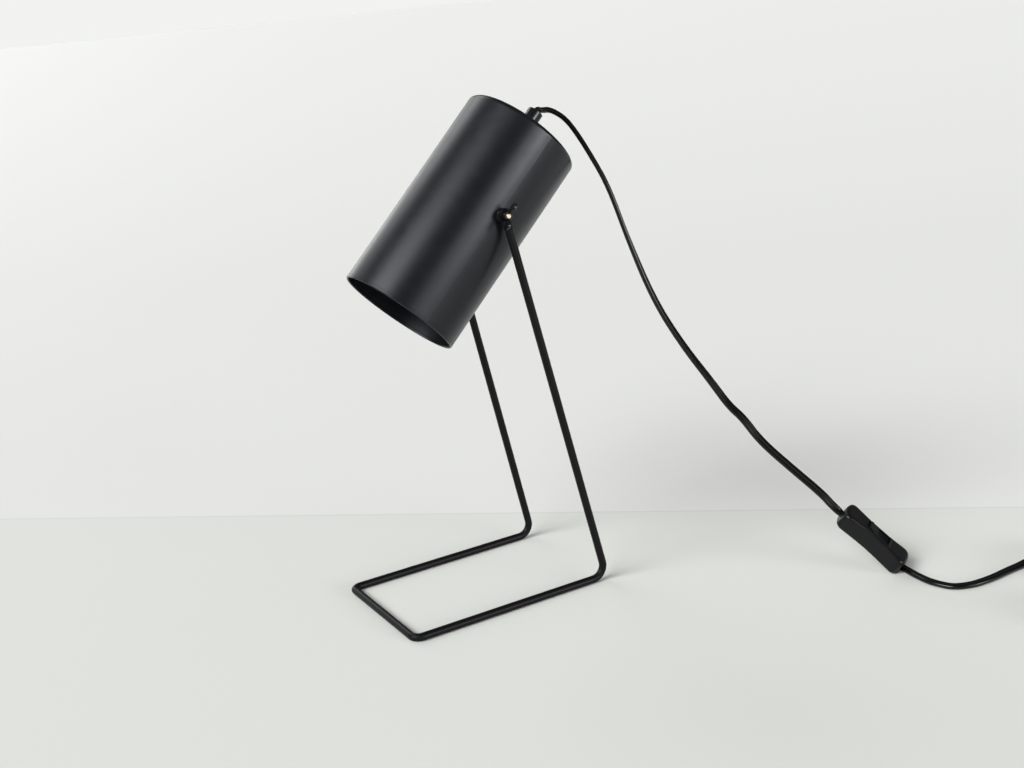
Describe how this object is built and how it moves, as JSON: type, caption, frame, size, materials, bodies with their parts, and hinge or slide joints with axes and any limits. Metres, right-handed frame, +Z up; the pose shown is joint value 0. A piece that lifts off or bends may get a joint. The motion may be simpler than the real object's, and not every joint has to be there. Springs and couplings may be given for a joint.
{
  "type": "tabletop searchlight lamp",
  "caption": "Table lamp with a cylindrical shade tilting on wing nuts between the two legs of a bent wire stand, flat cord with in-line rocker switch.",
  "frame": {"origin": "on the table, under the middle of the lamp's bounding box without the cord, switch, coil and plug", "axes": "+Z up, the shade's mouth towards -Y, +X along the tilt axis to the lamp's left as seen by someone the lamp faces"},
  "size_m": [0.4468, 0.5323, 0.4128],
  "materials": {
    "wire_coat": "satin powder coat",
    "shade_coat": "satin matt powder coat",
    "black_steel": "satin black",
    "black_nut": "satin black",
    "zinc": "zinc plated",
    "brass": "plain",
    "nickel": "nickel plated",
    "grip_plastic": "satin",
    "holder_plastic": "satin",
    "ceramic": "glazed",
    "cord_pvc": "soft satin",
    "core_pvc": "satin",
    "switch_plastic": "matt",
    "rocker_plastic": "matt",
    "tie_plastic": "matt",
    "plug_pvc": "satin",
    "sleeve_plastic": "matt"
  },
  "bodies": {
    "stand": {"wire_frame": "wire_coat", "cord_to_switch": "cord_pvc", "switch_base": "switch_plastic", "switch_cover": "switch_plastic", "switch_screws": "zinc", "switch_contacts": "brass", "cord_to_plug": "cord_pvc", "cord_coil": "cord_pvc", "coil_tie": "tie_plastic", "plug_lead": "cord_pvc", "plug_body": "plug_pvc", "plug_pins": "nickel", "pin_sleeves": "sleeve_plastic"},
    "shade": {"shade": "shade_coat", "pivot_screws": "zinc", "saddle_washers": "zinc", "pivot_spacers": "black_steel", "cord_grip": "grip_plastic", "grip_screw": "grip_plastic", "top_nipple": "zinc", "nipple_nut": "zinc", "lock_washer": "zinc", "holder_cap": "holder_plastic", "holder_body": "holder_plastic", "holder_insert": "ceramic", "thread_shell": "brass", "centre_contact": "brass", "side_contact": "brass", "terminal_screws": "zinc", "inner_cord": "cord_pvc", "core_leads": "core_pvc", "cord_exit": "cord_pvc"},
    "rocker": {"switch_rocker": "rocker_plastic"},
    "right_nut": {"wing_nut_right": "black_nut"},
    "left_nut": {"wing_nut_left": "black_nut"}
  },
  "joints": [
    {"name": "shade_tilt", "type": "hinge", "parent": "stand", "child": "shade", "pos_m": [0, 0.01911, 0.32325], "axis": [1, 0, 0], "range_deg": [-90, 45]},
    {"name": "right_nut_turn", "type": "hinge", "parent": "shade", "child": "right_nut", "pos_m": [0.0595, 0.01911, 0.32325], "axis": [1, 0, 0], "range_deg": [0, 270]},
    {"name": "left_nut_turn", "type": "hinge", "parent": "shade", "child": "left_nut", "pos_m": [-0.0595, 0.01911, 0.32325], "axis": [-1, 0, 0], "range_deg": [0, 270]},
    {"name": "rocker_press", "type": "hinge", "parent": "stand", "child": "rocker", "pos_m": [0.19806, 0.25982, 0.02906], "axis": [0.575, -0.8166, -0.0513], "range_deg": [0, 16]}
  ]
}
